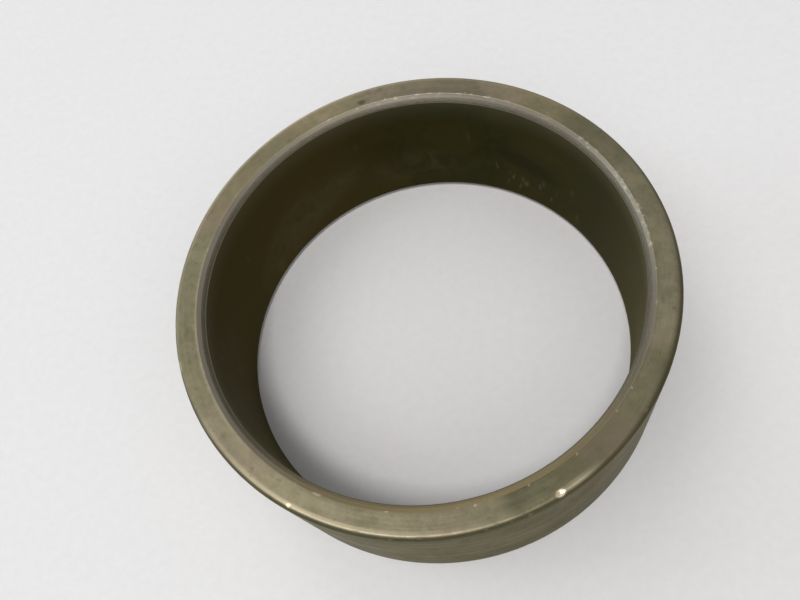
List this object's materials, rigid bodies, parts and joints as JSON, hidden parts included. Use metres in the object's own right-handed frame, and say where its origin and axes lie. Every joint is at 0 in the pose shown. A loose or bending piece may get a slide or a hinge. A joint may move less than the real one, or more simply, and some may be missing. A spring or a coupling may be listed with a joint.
{
  "type": "sleeve bushing",
  "caption": "Plain cylindrical bronze sleeve bushing with a dark self-lubricating bore lining, chamfered bore and a lead chamfer outside.",
  "frame": {"origin": "centre of the lower end face, on the bore axis; the lower end is the one with the lead chamfer outside", "axes": "+Z along the bore axis, from the lower end face to the upper one; X and Y lie in the lower end face, and the part is round about Z"},
  "size_m": [0.0508, 0.0508, 0.0175],
  "materials": {
    "bronze": "turned bronze, dulled by olive-brown oxide, worn brighter on the edges",
    "sintered_bronze": "matte, fine-grained porous bronze, seen only as a narrow ring on the bore chamfer",
    "running_lining": "dark olive-brown polymer and solid lubricant, satin where the shaft has run"
  },
  "bodies": {
    "root": {"bronze_sleeve": "bronze", "sintered_bronze_layer": "sintered_bronze", "running_layer": "running_lining"}
  },
  "joints": []
}
